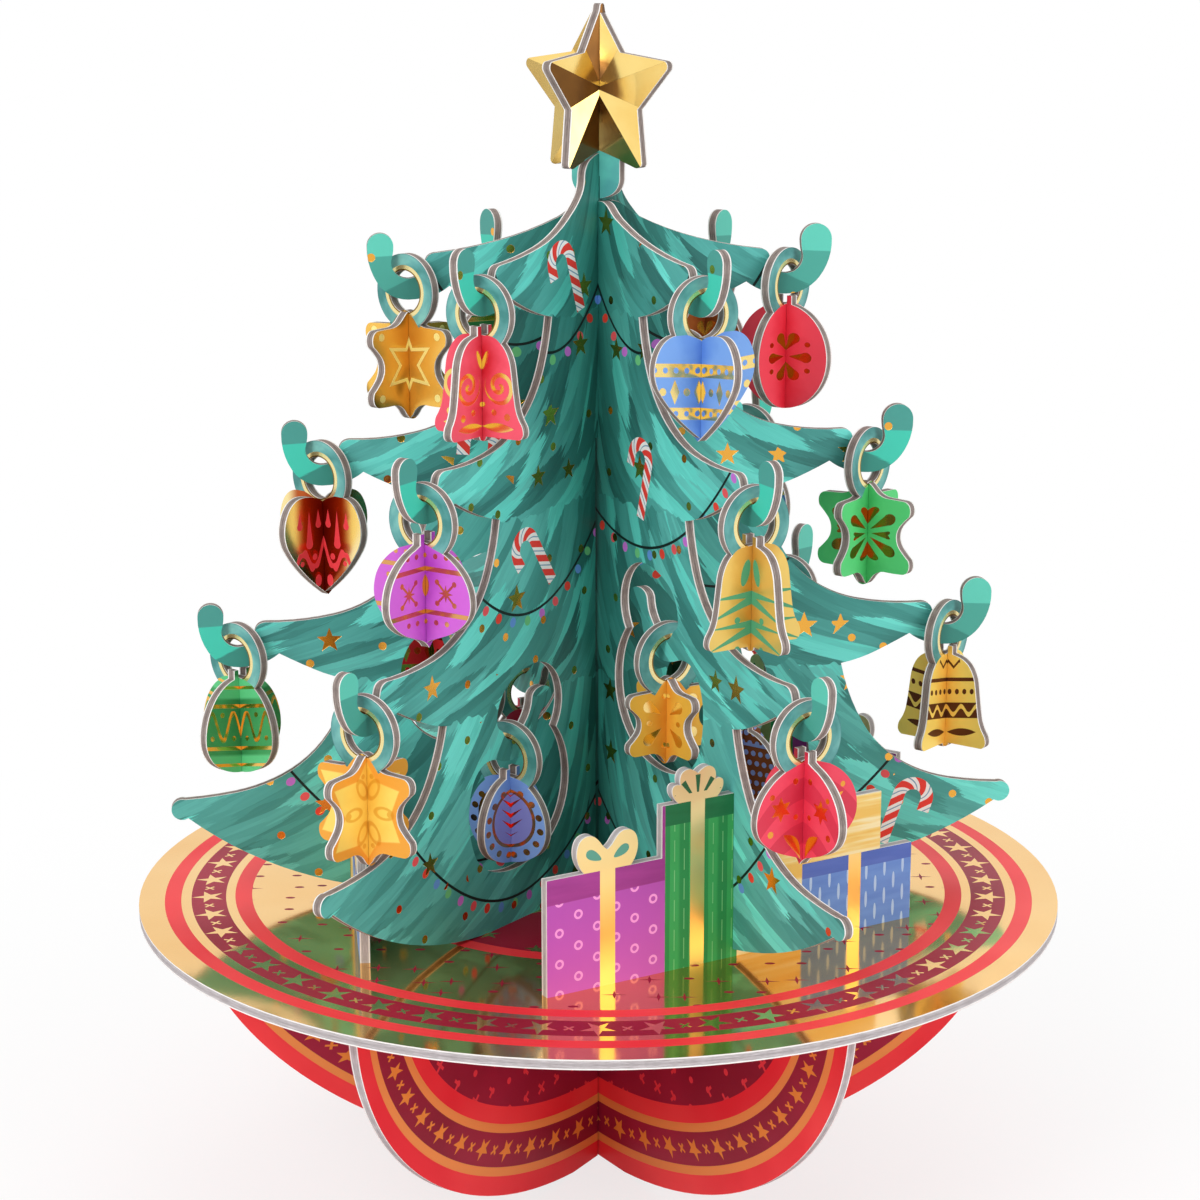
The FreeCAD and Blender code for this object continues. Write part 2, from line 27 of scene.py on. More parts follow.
# --- Base boards ------------------------------------------------------------------------
# Three half ellipses of 3 mm greyboard cross under the plate. Both faces carry a printed
# paper skin, red with an orange and crimson border; the cut edges show the bare grey core.
# Sizes are in mm and turns in degrees.

BOARD = 3.0
SKIN = 0.42
BASE_HIGH = 89.8
BASE_REACH = 130.0
BASE_TURNS = (1.2, 58.3, 123.0)
BASE_STARS = 24         # stars along the border of half an ellipse
STAR_PITCH = 15.0
STAR_LINE = 13.4        # from the rim to the middle of the stars
SPOT_PITCH = 18.0
GREY_CORE = ("5f524e", "b7a9a2")
PALE_CORE = ("9d9596", "d9d2d4")


def colour(code):
    """Linear colour of a hexadecimal screen colour."""
    parts = [int(code[at:at + 2], 16) / 255 for at in (0, 2, 4)]
    linear = [part / 12.92 if part < 0.04 else ((part + 0.055) / 1.055) ** 2.4 for part in parts]
    return linear + [1]


class Number:
    """A number, colour or place that varies over a surface. Arithmetic adds Math nodes."""

    def __init__(self, ink, socket):
        self.ink = ink
        self.socket = socket

    def math(self, operation, *others):
        inputs = dict(enumerate((self,) + others))
        return self.ink.node("Math", {"operation": operation}, inputs)

    def flipped(self, operation, other):
        return self.ink.node("Math", {"operation": operation}, {0: other, 1: self})

    def __add__(self, other):
        return self.math("ADD", other)

    __radd__ = __add__

    def __sub__(self, other):
        return self.math("SUBTRACT", other)

    def __rsub__(self, other):
        return self.flipped("SUBTRACT", other)

    def __mul__(self, other):
        return self.math("MULTIPLY", other)

    __rmul__ = __mul__

    def __truediv__(self, other):
        return self.math("DIVIDE", other)

    def __rtruediv__(self, other):
        return self.flipped("DIVIDE", other)

    def __pow__(self, other):
        return self.math("POWER", other)

    def __lt__(self, other):
        return self.math("LESS_THAN", other)

    def __gt__(self, other):
        return self.math("GREATER_THAN", other)

    def __abs__(self):
        return self.math("ABSOLUTE")

    def __or__(self, other):
        return self.math("MAXIMUM", other)

    def __and__(self, other):
        return self.math("MINIMUM", other)

    def wrap(self, span):
        """Folds a length into one repeat, from minus to plus half of it."""
        return self.math("WRAP", span / 2, -span / 2)

    def fade(self, start, end):
        """Rises smoothly from 0 at the start to 1 at the end."""
        return self.ink.node("MapRange", {"interpolation_type": "SMOOTHSTEP"},
                             {0: self, 1: start, 2: end})

    def other(self, output):
        """Another output of the node that this one comes from."""
        return Number(self.ink, self.socket.node.outputs[output])


class Nodes:
    """The nodes of one material or world."""

    def __init__(self, tree):
        self.tree = tree

    def node(self, kind, settings, inputs, output=0):
        """Adds a node: its settings and ramp stops first, then the values of its sockets."""
        made = self.tree.nodes.new("ShaderNode" + kind)
        for name, value in settings.items():
            if name == "stops":
                while len(made.color_ramp.elements) < len(value):
                    made.color_ramp.elements.new(0.5)
                for element, (at, code) in zip(made.color_ramp.elements, value):
                    element.position = at
                    element.color = colour(code)
            elif name == "ease":
                made.color_ramp.interpolation = value
            else:
                setattr(made, name, value)
        for key, value in inputs.items():
            if isinstance(value, Number):
                self.tree.links.new(value.socket, made.inputs[key])
            else:
                made.inputs[key].default_value = value
        return Number(self, made.outputs[output])


class Ink(Nodes):
    """A finish built node by node: u runs along a board, w through it and v up it, in mm."""

    def __init__(self, name, turn=0.0, centre=(0.0, 0.0), level=0.0):
        self.material = bpy.data.materials.new(name)
        self.material.use_nodes = True
        super().__init__(self.material.node_tree)
        self.shader = self.tree.nodes["Principled BSDF"]
        spot = [part / 1000 for part in (centre[0], centre[1], level)]
        self.place = self.node("Mapping", {"vector_type": "TEXTURE"}, {
            "Vector": self.node("TexCoord", {}, {}, "Object"), "Location": spot,
            "Rotation": (0, 0, math.radians(turn)), "Scale": (0.001, 0.001, 0.001)})
        self.u = self.node("SeparateXYZ", {}, {0: self.place})
        self.w = self.u.other(1)
        self.v = self.u.other(2)

    def spot(self, x, y, z=0.0):
        return self.node("CombineXYZ", {}, {0: x, 1: y, 2: z})

    def noise(self, place, scale=1.0, detail=2.0, rough=0.5):
        inputs = {"Vector": place, "Scale": scale, "Detail": detail, "Roughness": rough}
        return self.node("TexNoise", {}, inputs)

    def mix(self, mask, under, over, blend="MIX"):
        return self.node("Mix", {"data_type": "RGBA", "blend_type": blend},
                         {0: mask, 6: under, 7: over}, 2)

    def ramp(self, value, *stops, ease="LINEAR"):
        return self.node("ValToRGB", {"stops": stops, "ease": ease}, {0: value})

    def finish(self, paint, foil=0.0, relief=0.0, gloss=0.12, shine=0.3, board=GREY_CORE):
        """Joins the print to the shader: satin ink, mirror foil where it is stamped, and along
        every cut edge the fibrous grey core between two white skins."""
        across = abs(self.w)
        cut = across < BOARD / 2 - 0.02
        fibres = self.noise(self.spot(self.u * 0.3, across * 4.0, self.v * 0.3), 1.0, 4.0, 0.7)
        core = self.ramp(fibres, (0.28, board[0]), (0.72, board[1]))
        core = self.mix(across.fade(0.5, 0.1) * 0.35, core, colour(board[0]))
        core = self.mix(across > BOARD / 2 - SKIN, core, colour("f8f5f2"))
        grain = self.noise(self.place, 1.3, 3.0, 0.6)
        self.join("Base Color", self.mix(cut, paint, core))
        self.join("Metallic", foil * (1 - cut))
        satin = 0.4 + grain * 0.16
        rough = satin - (satin - gloss) * foil
        self.join("Roughness", rough + cut * (0.88 - rough))
        height = relief + grain * 0.004 + cut * fibres * 0.1
        self.join("Normal", self.node("Bump", {}, {"Distance": 0.001, "Height": height}))
        self.shader.inputs["Specular IOR Level"].default_value = shine
        return self.material

    def join(self, name, value):
        if isinstance(value, Number):
            self.tree.links.new(value.socket, self.shader.inputs[name])
        else:
            self.shader.inputs[name].default_value = value


def length(u, v):
    return (u * u + v * v).math("SQRT")


def disc(u, v, radius):
    return length(u, v) < radius


def star_reach(u, v, points=5, waist=0.42):
    """Distance from the middle of a star with a point up, the same all along its outline."""
    half = math.pi / points
    angle = u.math("ARCTAN2", v).math("PINGPONG", half)
    normal = Vector((waist * math.sin(half), 1 - waist * math.cos(half))).normalized()
    along = angle.math("COSINE") + angle.math("SINE") * (normal.y / normal.x)
    return length(u, v) * along


def cross_mask(u, v, arm, width):
    """1 inside a small diagonal cross."""
    a = abs(u + v)
    b = abs(u - v)
    return (a < width) & (b < arm) | (b < width) & (a < arm)


def base_print(turn):
    """Bands that follow the ellipse, with stars and crosses along the crimson one."""
    ink = Ink("base_print_%d" % turn, turn, level=BASE_HIGH)
    u, v = ink.u, ink.v
    flat = length(u / BASE_REACH, v / BASE_HIGH)
    steep = length(u / BASE_REACH ** 2, v / BASE_HIGH ** 2)
    inward = flat * (1 - flat) / (steep + 1e-6)
    shade = ink.noise(ink.spot(u * 0.02, v * 0.02, turn))
    red = ink.ramp(shade, (0.35, "f02c3a"), (0.65, "ff4a4e"))
    crimson = ink.ramp(shade, (0.35, "8f1733"), (0.65, "a82443"))
    orange = colour("f5a055")
    # spots and crosses in the middle field
    step = SPOT_PITCH / 2
    row = (v / step).math("ROUND")
    shifted = u - row.math("PINGPONG", 1.0) * step
    cell_u = shifted.wrap(step)
    cell_v = v - row * step
    odd = (shifted / SPOT_PITCH + row * 0.5).math("ROUND").math("PINGPONG", 1.0)
    marks = cross_mask(cell_u, cell_v, 3.2, 0.75) * odd | disc(cell_u, cell_v, 1.1) * (1 - odd)
    field = ink.mix(marks, crimson, colour("e8404c"))
    # stars and crosses along the border
    angle = (v / BASE_HIGH).math("ARCTAN2", u / BASE_REACH) * (BASE_STARS / math.pi)
    along = angle.wrap(1.0) * STAR_PITCH
    between = (angle + 0.5).wrap(1.0) * STAR_PITCH
    over = STAR_LINE - inward
    stars = (star_reach(along, over) < 3.9) | cross_mask(between, over, 2.6, 0.6)
    border = ink.mix(stars, crimson, colour("f0983f"))
    # each band lies this far in from the rim, or less
    paint = field
    for depth, tint in ((27.1, red), (21.5, orange), (18.7, border), (8.1, orange), (5.3, red)):
        paint = ink.mix(inward < depth, paint, tint)
    return ink.finish(paint, shine=0.2, board=PALE_CORE)


def dress(name, material):
    """Gives a CAD piece its finish."""
    piece = nodes[name]
    piece.data.materials.clear()
    piece.data.materials.append(material)


for number, turn in enumerate(BASE_TURNS, 1):
    dress("base_board_%d" % number, base_print(turn))


# --- Plate ------------------------------------------------------------------------------
# A round plate of the same board. Its upper skin is laminated with mirror-like gold foil,
# over which red and crimson rings and a crimson middle are printed, with foil stars left free.

PLATE_R = 143.5
PLATE_STARS = 48
STAR_RING = PLATE_R * 0.851
FOIL = ("f3c072", "f8cb83")


def plate_print():
    """Rings round the axis, with stars along one and dashes and crosses between two."""
    ink = Ink("plate_print", level=BASE_HIGH + BOARD / 2)
    u, v, high = ink.u, ink.w, ink.v
    reach = length(u, v)
    share = reach / PLATE_R
    cloud = ink.noise(ink.place, 0.02)
    red = ink.ramp(cloud, (0.35, "f5323b"), (0.65, "ff4a4c"))
    crimson = ink.ramp(cloud, (0.35, "96142e"), (0.65, "ab1f3a"))
    gold = ink.ramp(cloud, (0.35, FOIL[0]), (0.65, FOIL[1]))
    # foil stars and crosses round the crimson ring
    angle = u.math("ARCTAN2", v) * (PLATE_STARS / (2 * math.pi))
    pitch = 2 * math.pi * STAR_RING / PLATE_STARS
    over = reach - STAR_RING
    stars = star_reach(angle.wrap(1.0) * pitch, over, 5, 0.36) < 5.2
    stars = stars | cross_mask((angle + 0.5).wrap(1.0) * pitch, over, 2.6, 0.5)
    # crimson dashes and crosses scattered over the foil, and foil stars over the middle
    cells = ink.node("TexVoronoi", {"voronoi_dimensions": "2D"},
                     {"Vector": ink.place, "Scale": 0.09, "Randomness": 0.6}, "Position")
    middle = ink.node("SeparateXYZ", {}, {0: cells})
    away_u = u - middle
    away_v = v - middle.other(1)
    pick = cells.other("Color")
    dash = length(away_u / 1.5, away_v / 0.8) < 1.0
    cross = star_reach(away_u / 1.2, away_v, 4, 0.17) < 3.2
    marks = dash * (pick > 0.5) | cross * (pick < 0.5)
    gems = (star_reach(away_u, away_v, 5, 0.36) < 3.8) * (pick > 0.5)
    # rings from the rim inwards: outer edge as a share of the radius, colour, and bare foil
    rings = (
        (0.945, red, 0.0), (0.91, gold, 1.0),
        (0.888, ink.mix(stars, crimson, gold), stars), (0.814, gold, 1.0),
        (0.794, red, 0.0), (0.758, ink.mix(marks, gold, crimson), 1 - marks),
        (0.499, red, 0.0), (0.461, ink.mix(gems, crimson, gold), gems))
    paint, bare = gold, 1.0
    for edge, tint, shown in rings:
        inside = share < edge
        paint = ink.mix(inside, paint, tint)
        bare = bare + (shown - bare) * inside
    under = high < 0
    paint = ink.mix(under, paint, red)
    foil = bare * (1 - under) * 0.94
    ink.w = high            # the plate lies flat, so its cut edge is found by height
    return ink.finish(paint, foil, foil * cloud * 0.3, 0.08, 0.15, PALE_CORE)


dress("plate", plate_print())


# --- Tree boards ------------------------------------------------------------------------
# Three tall boards cross and interlock to make six vanes. The skins are printed with brushed
# teal needles that sweep out from the trunk, strings of lights, candy canes, foil stars and dots.

SPIRE_TURN = 54.2
MIDDLE_TURN = 121.2
CROSS_TURN = 7.5
PLATE_TOP = BASE_HIGH + BOARD
TIER_DROP = 56.4
SKIRT = 68.7            # height of the first eave over the plate
NOTCH = (137.3, 24.5)   # where the notch of a tier below the first would be, out and up
NOTCH_STEP = (26.7, 55.6)
BULB_PITCH = 6.6
WIRE = 0.42             # half the width of the wire
LOW_WIRE = (8.0, 45.0, 0.0125)
TOP_WIRE = (171.0, 25.0, 0.034)
CROOK = 4.7             # radius of a cane's crook
CANE = 2.0              # half the width of a cane
STRIPE = 5.8
LEAF_GOLD = "eeae49"
NEEDLES = ((0.0, "306c68"), (0.16, "3c847e"), (0.34, "489b94"), (0.56, "5ab3ac"),
           (0.7, "68c8bf"), (0.8, "68dcd0"), (0.95, "7cf0e4"))


def lights(ink, paint, out, v, low, middle, bend):
    """A string of lights: a thin black wire in a bow, with small oval bulbs under it. The bow
    is lowest at height low and middle mm out, and bend is how sharply it rises."""
    away = out - middle
    slope = away * (2 * bend)
    below = (low + away * away * bend - v) / (1 + slope * slope).math("SQRT")
    along = (away + away * away * away * (bend * bend * 0.55) - below * slope) / BULB_PITCH
    bulb = length(along.wrap(1.0) * BULB_PITCH / 0.82, below - 2.2) < 1.55
    pick = along.math("ROUND").math("WRAP", 2.5, -2.5) / 5 + 0.5
    glass = ink.ramp(pick, (0.0, "e8565c"), (0.2, "c973d6"), (0.4, "6cc581"), (0.6, "6396dc"),
                     (0.8, "e2402f"), ease="CONSTANT")
    paint = ink.mix(bulb, paint, glass)
    return ink.mix(abs(below) < WIRE, paint, colour("0b1c1a"))


def cane(ink, paint, u, v, u_middle, v_middle, lean):
    """A candy cane with red and white stripes: a straight stem, a crook and a short tip."""
    angle = math.radians(lean)
    du = u - u_middle
    dv = v - v_middle
    p = du * math.cos(angle) + dv * math.sin(angle)
    q = dv * math.cos(angle) - du * math.sin(angle)
    stem = p < 0
    crook = q > 0
    across = (abs(p) - CROOK) * (1 - crook) + (length(p, q) - CROOK) * crook
    foot = stem * -17.0 + (1 - stem) * -3.6
    shape = (abs(across) < CANE) & (q > foot)
    turned = q.math("ARCTAN2", p * -1.0) * CROOK
    along = (q * (stem * 2 - 1) + (1 - stem) * (math.pi * CROOK)) * (1 - crook) + turned * crook
    stripe = (along + across * 0.9 + 50.0).wrap(STRIPE)
    candy = ink.mix(stripe > 0.2, colour("f9f6f4"), colour("ee3f35"))
    candy = ink.mix(abs(stripe + 1.3) < 0.25, candy, colour("86a9c4"))
    return ink.mix(shape, paint, candy), shape


def tree_print(name, turn, canes, middle_wire):
    """Needles in tiers, plain hooks, strings of lights, candy canes, foil stars and dots."""
    ink = Ink(name + "_print", turn, level=PLATE_TOP)
    u, v, w = ink.u, ink.v, ink.w
    out = abs(u)
    face = (u > 0) * 2 + (w > 0)
    # brush strokes that stream out and down from the trunk, tier by tier
    ragged = ink.noise(ink.spot(out * 0.14, face * 7.0, v * 0.03), 1.0, 2.0) * 12.0
    tier = ((v - SKIRT + ragged - 6.0) / TIER_DROP + 1.0).math("FLOOR") | 0.0
    fall = (v - SKIRT - TIER_DROP * (tier - 1) + 19.0 + (tier < 0.5) * 22.0) | 1.0
    flow = ((out + 7.0) * fall).math("SQRT") * 2.0
    along = out - fall
    fray = ink.noise(ink.spot(flow * 0.9, along * 0.03, face * 11.0), 1.0, 3.0, 0.7)
    seed = face * 17.0 + tier * 5.0
    wide = {"voronoi_dimensions": "3D"}
    broad = ink.node("TexVoronoi", wide, {
        "Vector": ink.spot(flow / 8.0 + fray * 0.35, (along + fray * 22.0) / 38.0, seed),
        "Scale": 1.0, "Randomness": 0.95}, "Color")
    fine = ink.node("TexVoronoi", wide, {
        "Vector": ink.spot(flow / 3.4 + fray * 0.5, (along + fray * 22.0) / 22.0, seed + 3.0),
        "Scale": 1.0, "Randomness": 0.95}, "Color")
    broad = ink.node("SeparateColor", {}, {0: broad})
    fine = ink.node("SeparateColor", {}, {0: fine})
    hairs = ink.noise(ink.spot(flow * 1.7, along * 0.035, seed), 1.0, 3.0, 0.6)
    # the tone also rises outwards from the trunk: painted light on the outer needles
    tone = broad * 0.78 + fine * 0.14 + (hairs - 0.5) * 0.16 + (out / 90.0 & 1.0) * 0.12 - 0.02
    print_colour = ink.ramp(tone, *NEEDLES)
    # painted shade: darker under each eave and at the end of each eave, and beside the trunk where
    # the vanes meet
    hook_u = (tier | 1.0) * -NOTCH_STEP[0] + NOTCH[0]
    hook_v = (tier | 1.0) * NOTCH_STEP[1] + NOTCH[1]
    # painted shadow under the end of each eave, where the tier above would shade it
    painted_eave_shade = (out - hook_u + 15.0).fade(-16.0, 4.0) * (v - hook_v).fade(3.0, -12.0) * (tier > 0.5)
    print_colour = ink.mix(painted_eave_shade * 0.62, print_colour, colour("1d4540"))
    # painted shade beside the trunk, in the crease where the vanes meet
    trunk = ink.ramp(out / 40.0 + (hairs - 0.5) * 0.12, (0.0, "5f9c92"), (0.12, "8cbab2"),
                     (0.45, "c6dcd8"), (1.0, "ffffff"))
    print_colour = ink.mix(0.9, print_colour, trunk, "MULTIPLY")
    # the hooks are plain, in three flat tones
    hook = (out > hook_u - 5.0) * (tier > 0.5) * (v > hook_v - 14.0)
    swipe = v - hook_v - 7.0 + (out - hook_u) * 0.05
    pale_head = ink.noise(ink.spot(tier * 3.1, face * 5.3, turn)) > 0.5
    head = ink.mix(pale_head, colour("4a9d93"), colour("60cbb7"))
    neck = ink.mix(pale_head, colour("43cbb3"), colour("4ba697"))
    hook_tone = ink.mix(swipe.fade(-0.15, 0.15), neck, head)
    under = (hook_v - v - 1.0 - (out - hook_u) * 0.5 + hairs * 2.0).fade(0.0, 0.6)
    hook_tone = ink.mix(under * 0.85, hook_tone, colour("378277"))
    # strings of lights, candy canes, then foil dots and stars
    paint = print_colour
    for wire in (LOW_WIRE, middle_wire, TOP_WIRE):
        paint = lights(ink, paint, out, v, *wire)
    paint = ink.mix(hook, paint, hook_tone)
    sweets = 0.0
    for side, u_middle, v_middle, lean in canes:
        paint, shape = cane(ink, paint, u * side if side else out, v, u_middle, v_middle, lean)
        sweets = shape | sweets
    cells = ink.node("TexVoronoi", {"voronoi_dimensions": "3D"}, {
        "Vector": ink.spot(u, v, face * 60.0), "Scale": 0.056, "Randomness": 0.66}, "Color")
    pick = ink.node("SeparateColor", {}, {0: cells})
    middle = ink.node("SeparateXYZ", {}, {0: cells.other("Position")})
    away_u = u - middle
    away_v = v - middle.other(1)
    star = (star_reach(away_u, away_v) < 3.3 + pick * 1.3) * (pick.other(1) > 0.76) * (1 - hook)
    dots = (length(away_u, away_v) < 1.25) * (pick.other(1) < 0.76)
    foil = (star | dots) * (1 - sweets)
    paint = ink.mix(foil, paint, colour(LEAF_GOLD))
    return ink.finish(paint, foil, hairs * 0.01 - foil * 0.02, 0.15)


# name, turn, candy canes (side, or 0 for both; out; up; lean) and middle string of lights
BOARDS = (
    ("tree_spire", SPIRE_TURN,
     ((0, 20.6, 196.8, -18.0), (0, 38.8, 114.0, -33.0)), (94.5, 38.0, 0.0185)),
    ("tree_middle", MIDDLE_TURN,
     ((1, -26.4, 139.3, 15.0), (1, 27.0, 146.0, -12.0)), (113.0, 25.0, 0.0125)),
    ("tree_cross", CROSS_TURN,
     ((1, 100.8, 23.6, -18.0), (-1, 36.5, 141.0, 5.0)), (94.5, 38.0, 0.0185)),
)
for name, turn, canes, middle_wire in BOARDS:
    dress(name, tree_print(name, turn, canes, middle_wire))


# --- Presents ---------------------------------------------------------------------------
# Three cards of the same board, each die-cut to the outline of four wrapped boxes: magenta with
# small rings, striped green, pale gold, and blue with dashes. Ribbons and bows are gold.

CARD_OUT = 76.6
CARD_TURNS = {"front_right": MIDDLE_TURN + 180, "left": CROSS_TURN + 180, "back_right": SPIRE_TURN}
BOX_EDGES = (-25.0, 0.0, 23.0)      # where the green, the gold and the blue box begin
BOX_HIGH = 24.0                     # top of the blue box
RIBBONS = ((-44.2, 2.5), (-14.0, 2.4), (42.2, 2.3))     # middle and half width of each


def presents_print(name, turn):
    """Four boxes side by side: u runs along the card from its middle, v up from the plate."""
    angle = math.radians(turn)
    centre = (CARD_OUT * math.cos(angle), CARD_OUT * math.sin(angle))
    ink = Ink("presents_print_" + name, turn + 90, centre, PLATE_TOP)
    u, v = ink.u, ink.v
    brush = ink.noise(ink.spot(u * 0.5, v * 0.04, turn), 1.0, 3.0)
    shade = ink.noise(ink.spot(u * 0.05, v * 0.3, turn), 1.0, 3.0)
    # magenta box with small rings and a darker lid
    column = ((u + 60.0) / 6.2).math("ROUND")
    ring_v = (v + column.math("PINGPONG", 1.0) * 4.6).wrap(9.2)
    reach = length((u + 60.0).wrap(6.2), ring_v)
    rings = (reach < 1.45) & (reach > 0.75)
    magenta = ink.ramp(v / 34.5 + brush * 0.1, (0.05, "d766ca"), (0.5, "c95dc4"), (1.0, "b653b8"))
    box_one = ink.mix(rings, magenta, colour("ffa8ec"))
    lid = (v - 28.3 - u * 0.02).fade(-0.1, 0.1)
    box_one = ink.mix(lid, box_one, ink.ramp(shade, (0.3, "9c3a8d"), (0.7, "ae469c")))
    # green box with broad stripes and fine broken lines
    stripe = (u + brush * 0.7).wrap(6.6)
    dash = (abs((u + 2.0).wrap(3.3)) < 0.15) & (abs((v + column * 3.0).wrap(9.0)) < 3.2)
    box_two = ink.mix(stripe.fade(-0.6, 0.6), colour("42b062"), colour("329754"))
    box_two = ink.mix(dash * 0.65, box_two, colour("93e09a"))
    box_two = ink.mix(v > 43.8, box_two, ink.ramp(shade, (0.3, "237446"), (0.7, "2a8250")))
    # pale gold box brushed crossways
    wave = ink.noise(ink.spot(u * 0.03, v * 0.42, 2.0), 1.0, 3.0)
    box_three = ink.ramp(wave, (0.38, "fdeebb"), (0.48, "f9dc8c"), (0.6, "f4c968"))
    # blue box with staggered dashes
    blue_u = u + 1.0
    blue_v = v + (blue_u / 3.4).math("ROUND").math("PINGPONG", 1.0) * 4.4
    dashes = length(blue_u.wrap(3.4) * 5.5, blue_v.wrap(8.8)) < 2.6
    box_four = ink.mix(dashes, ink.ramp(shade, (0.3, "6890dc"), (0.7, "76a0e6")), colour("b9d6fb"))
    box_four = ink.mix(v > 19.3, box_four, ink.ramp(shade, (0.3, "5570c4"), (0.7, "627cce")))
    green_from, gold_from, blue_from = BOX_EDGES
    paint = ink.mix(u > green_from, box_one, box_two)
    paint = ink.mix(u > gold_from, paint, box_three)
    paint = ink.mix((u > blue_from) & (v < BOX_HIGH), paint, box_four)
    # ribbons and bows in foil
    tie, post, band = [abs(u - middle) for middle, half in RIBBONS]
    ribbon = (tie < RIBBONS[0][1]) & (v < 36.0) | (post < RIBBONS[1][1])
    ribbon = ribbon | (band < RIBBONS[2][1]) & (v < BOX_HIGH)
    bow = (v > 34.5) & (u < -26.0) | (v > 50.0)
    gold = ink.ramp(v / 52.0, (0.0, "fbdc82"), (0.3, "f6cb72"), (0.6, "fbe19a"), (1.0, "fbe3a6"))
    paint = ink.mix(ribbon | bow, paint, gold)
    along = (tie - 4.5) * 0.87 + (v - 39.2) * 0.5
    across = (v - 39.2) * 0.87 - (tie - 4.5) * 0.5
    eye = length(along / 2.8, across / (along * 0.18 + 1.35)) < 1.0
    fan = (u + 14.0).math("ARCTAN2", v - 49.0).wrap(0.62)
    pleat = (abs(fan) < 0.1) & (v > 52.4) & (length(u + 14.0, v - 49.0) < 8.6)
    paint = ink.mix(eye, paint, colour("5fa593"))
    paint = ink.mix(pleat, paint, colour("2f6b45"))
    foil = (ribbon | bow) & (1 - (eye | pleat))
    return ink.finish(paint, foil * (0.75 - bow * 0.35), brush * 0.01, 0.22, 0.25, PALE_CORE)


for vane, turn in CARD_TURNS.items():
    dress("presents_" + vane, presents_print(vane, turn))


# --- Ornaments --------------------------------------------------------------------------
# Each ornament is two crossing pieces with the same print on every face. One has a ring in the
# tree's teal with a thin gold line round its hole. Figures are stamped in foil or printed.

RING_OUT = 11.25
HOLE_R = 6.75           # inner radius of the gold line round the hole
GOLD_LINE = 7.9         # its outer radius
BODY_TOP = -5.52        # top of the body, from the middle of the ring
HANG = 46.5             # from the top of the ring to the foot, for which the figures are drawn
# turn of the ringed piece of the ornaments on each vane
RING_TURNS = {"left": 320, "front_left": 325, "front_right": 213,
              "right": 233, "back_right": 146, "back_left": 30}
GOLD = "f0bd63"


def stamp(ink, ground, marks, code):
    """A figure stamped in foil over an inked ground."""
    return ink.mix(marks, ground, colour(code)), marks


def bands(ink, u, v, ground, code):
    """Two foil bands with dots left free in them, and diamonds and dots between."""
    a = abs(u)
    v = v - a * 0.09
    cell = (a - 2.8).wrap(3.7)
    foil = (abs(v - 4.6) < 1.95) | (abs(v + 7.8) < 1.75)
    spots = (length(cell, v - 4.6) < 0.85) | (length(cell, v + 7.8) < 0.8)
    gems = abs((a - 2.3).wrap(8.3)) / 1.6 + abs(v + 1.6) / 3.6 < 1.0
    pearls = length((a - 6.45).wrap(8.3), v + 1.6) < 1.15
    return stamp(ink, ground, foil * (1 - spots) | gems | pearls, code)


def rosette(ink, u, v, ground, code, count=6, swing=0.0):
    """Foil drops that point to the middle, with small dots between their round ends."""
    half = math.pi / count
    angle = (u * 0.75).math("ARCTAN2", v)
    reach = length(u * 0.75, v)
    fold = (angle + half).wrap(2 * half)
    across = reach * fold.math("SINE")
    down = reach * fold.math("COSINE")
    size = abs((angle * 2.0).math("SINE")) * swing + 1.0 - swing * 0.6
    wide = size * (9.0 / (count + 3.0) + 0.5)
    end = size * 6.2
    width = (down - 1.8) * (wide / (end - 1.8))
    petals = (abs(across) < width) & (down < end) | (length(across, down - end) < wide)
    between = angle.wrap(2 * half)
    aside = reach * between.math("SINE")
    onward = reach * between.math("COSINE") - 7.6
    seeds = length(aside, onward) < 0.75 - swing * 2
    return stamp(ink, ground, petals | seeds, code)


def burst(ink, u, v, ground, code):
    """Ten foil drops, long ones towards the corners and short ones between."""
    return rosette(ink, u * 0.86, v * 0.88, ground, code, 10, 0.45)


def crosses(ink, u, v, ground, code):
    """Foil bands, rows of dots, large crosses with dotted ends and an oval on the fold."""
    a = abs(u)
    lines = (abs(v - 7.2) < 0.7) | (abs(v + 5.4) < 0.7)
    far = a - 8.9
    arms = cross_mask(far, v - 0.6, 6.0, 0.5) | (star_reach(far, v - 0.6, 4, 0.3) < 2.6)
    ends = length(abs(far) - 3.1, abs(v - 0.6) - 3.1) < 0.8
    dots = length((a - 1.4).wrap(3.9), (abs(v - 1.4) - 9.7)) < 0.8
    oval = length(u / 2.9, (v - 2.2) / 3.9) < 1.0
    return stamp(ink, ground, lines | arms | ends | dots * (a < 11.0) | oval, code)


def scrolls(ink, u, v, ground, code):
    """A foil spiral on each side, drops over it, dots below it and long lenses at the hem."""
    a = abs(u)
    far = a - 7.6
    reach = length(far, v - 0.9)
    turn = far.math("ARCTAN2", v - 0.9) / (2 * math.pi) * 3.2
    coil = (abs((reach - turn).wrap(3.2)) < 0.65) & (reach < 5.2)
    drop = length((a - 2.6) - (v - 8.0) * 0.35, (v - 8.0) * 0.32) < 0.85
    dots = (length(a - 5.6, v + 6.6) < 0.9) | (length(a - 10.2, v + 7.6) < 1.05)
    dots = dots | (length(a - 1.9, v + 4.6) < 0.7)
    lens = abs(v + 10.8) < (1 - (a - 7.0) * (a - 7.0) / 30.0) * 1.3
    return stamp(ink, ground, coil | drop | dots | lens, code)


